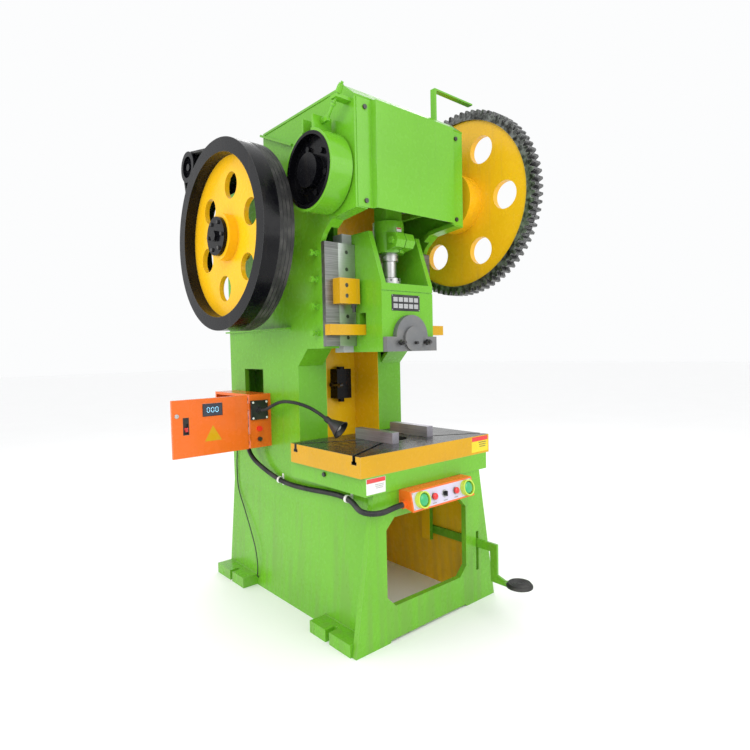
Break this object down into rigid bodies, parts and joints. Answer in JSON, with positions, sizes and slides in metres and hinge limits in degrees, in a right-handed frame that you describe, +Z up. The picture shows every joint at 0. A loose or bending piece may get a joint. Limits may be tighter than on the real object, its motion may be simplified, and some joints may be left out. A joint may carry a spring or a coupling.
{
  "type": "mechanical stamping press",
  "caption": "Open-front C-frame mechanical stamping press: one crank, geared rear drive, flywheel, band brake, two-hand panel and foot pedal.",
  "frame": {"origin": "point on the floor straight below the ram's axis", "axes": "+Z up, +X to the press's right as seen from its front, +Y to its rear"},
  "size_m": [1.497, 1.729, 2.57],
  "materials": {
    "green_paint": "gloss enamel",
    "yellow_paint": "gloss enamel",
    "gear_paint": "gloss enamel with bare dark rim",
    "table_steel": "ground, oiled",
    "ground_steel": "ground",
    "grey_casting": "machined",
    "black_paint": "gloss enamel",
    "bolt_steel": "blackened",
    "black_rubber": "matt",
    "orange_enamel": "powder coat",
    "black_plastic": "satin",
    "grey_plastic": "satin",
    "white_plastic": "satin",
    "blue_screen": "gloss",
    "red_plastic": "gloss",
    "lime_plastic": "gloss",
    "green_plastic": "gloss"
  },
  "bodies": {
    "root": {"motor_plate": "green_paint", "column_left": "green_paint", "column_right": "green_paint", "head_shell": "green_paint", "base_frame": "green_paint", "bed_plate": "green_paint", "front_cover": "green_paint", "shaft_bearings": "green_paint", "brake_band": "green_paint", "stop_blocks": "yellow_paint", "bolster_plate": "table_steel", "parallel_blocks": "ground_steel", "gibs": "ground_steel", "guide_bars": "ground_steel", "motor_body": "black_paint", "lubricator": "black_paint", "screws": "bolt_steel", "adjusting_bolts": "bolt_steel", "brake_tie_rod": "bolt_steel", "v_belts": "black_rubber", "cabinet_body": "orange_enamel", "panel_box": "orange_enamel", "lamp_arm": "black_plastic", "lamp_head": "black_plastic", "lamp_base": "black_plastic", "conduit": "black_plastic", "cabinet_switchgear": "grey_plastic", "supply_cable": "grey_plastic", "conduit_clips": "white_plastic", "pilot_lamp": "red_plastic", "button_collars": "lime_plastic"},
    "crank": {"crankshaft": "ground_steel", "brake_drum": "black_paint"},
    "ram": {"ram": "green_paint", "shank_clamp": "grey_casting", "clamp_studs": "bolt_steel", "ball_retaining_ring": "ground_steel"},
    "rod": {"con_rod": "green_paint", "rod_clamp_bolt": "bolt_steel", "adjusting_screw": "ground_steel", "lock_nut": "ground_steel"},
    "gear": {"big_gear": "gear_paint"},
    "drive": {"pinion_shaft": "ground_steel", "flywheel": "gear_paint", "flywheel_cap": "black_paint"},
    "motor": {"motor_pulley": "black_paint"},
    "knockout": {"knockout_bar": "yellow_paint"},
    "door": {"cabinet_door": "orange_enamel", "door_display": "blue_screen", "breaker_housing": "black_plastic"},
    "breaker": {"breaker_lever": "red_plastic"},
    "start_button": {"cabinet_button": "black_plastic"},
    "palm_left": {"palm_button_left": "green_plastic"},
    "palm_right": {"palm_button_right": "green_plastic"},
    "stop_push": {"stop_button": "red_plastic"},
    "inch_push": {"inch_button": "red_plastic"},
    "selector": {"selector_knob": "black_plastic"},
    "pedal": {"pedal_lever": "green_paint", "pedal_pad": "black_rubber"},
    "oil_lever": {"lubricator_lever": "bolt_steel"}
  },
  "joints": [
    {"name": "crank_turn", "type": "hinge", "parent": "root", "child": "crank", "pos_m": [0, 0, 2.059], "axis": [1, 0, 0], "range_deg": [0, 180]},
    {"name": "ram_slide", "type": "slide", "parent": "root", "child": "ram", "axis": [0, 0, 1], "range_m": [-0.101, 0.001]},
    {"name": "rod_swing", "type": "hinge", "parent": "ram", "child": "rod", "pos_m": [0, 0, 1.545], "axis": [1, 0, 0], "range_deg": [-4, 4]},
    {"name": "gear_spin", "type": "hinge", "parent": "root", "child": "gear", "pos_m": [0, 0, 2.059], "axis": [1, 0, 0], "continuous": true},
    {"name": "flywheel_spin", "type": "hinge", "parent": "root", "child": "drive", "pos_m": [0, 0.51364, 1.84097], "axis": [1, 0, 0], "continuous": true},
    {"name": "motor_spin", "type": "hinge", "parent": "root", "child": "motor", "pos_m": [0, 1, 2.308], "axis": [1, 0, 0], "continuous": true},
    {"name": "knockout_lift", "type": "slide", "parent": "ram", "child": "knockout", "axis": [0, 0, 1], "range_m": [0, 0.056]},
    {"name": "cabinet_door_swing", "type": "hinge", "parent": "root", "child": "door", "pos_m": [-0.4785, 0.573, 0.92], "axis": [0, 0, 1], "range_deg": [-90, 20]},
    {"name": "breaker_throw", "type": "hinge", "parent": "door", "child": "breaker", "pos_m": [-0.812, 0.5682, 0.921], "axis": [1, 0, 0], "range_deg": [-90, 0]},
    {"name": "cabinet_button_press", "type": "slide", "parent": "root", "child": "start_button", "axis": [0, 1, 0], "range_m": [0, 0.004], "stiffness_N_per_m": 300, "springref_m": -0.002},
    {"name": "palm_left_press", "type": "slide", "parent": "root", "child": "palm_left", "axis": [0, 0.977, -0.2134], "range_m": [0, 0.006], "stiffness_N_per_m": 500, "springref_m": -0.002},
    {"name": "palm_right_press", "type": "slide", "parent": "root", "child": "palm_right", "axis": [0, 0.977, -0.2134], "range_m": [0, 0.006], "stiffness_N_per_m": 500, "springref_m": -0.002},
    {"name": "stop_press", "type": "slide", "parent": "root", "child": "stop_push", "axis": [0, 0.977, -0.2134], "range_m": [0, 0.004], "stiffness_N_per_m": 300, "springref_m": -0.002},
    {"name": "inch_press", "type": "slide", "parent": "root", "child": "inch_push", "axis": [0, 0.977, -0.2134], "range_m": [0, 0.004], "stiffness_N_per_m": 300, "springref_m": -0.002},
    {"name": "selector_turn", "type": "hinge", "parent": "root", "child": "selector", "pos_m": [0.006, -0.3365, 0.6245], "axis": [0, -0.977, 0.2134], "range_deg": [-45, 45]},
    {"name": "pedal_press", "type": "hinge", "parent": "root", "child": "pedal", "pos_m": [0, 0.06, 0.298], "axis": [1, 0, 0], "range_deg": [0, 6], "stiffness_Nm_per_rad": 80, "springref_deg": -17.19},
    {"name": "oil_lever_pull", "type": "hinge", "parent": "root", "child": "oil_lever", "pos_m": [0, 0.473, 1.09], "axis": [1, 0, 0], "range_deg": [-30, 30]}
  ],
  "couplings": [
    {"joint": "ram_slide", "follows": "crank_turn", "m_per_rad": -0.031831},
    {"joint": "flywheel_spin", "follows": "gear_spin", "ratio": -6.1538},
    {"joint": "motor_spin", "follows": "gear_spin", "ratio": -35.724}
  ]
}
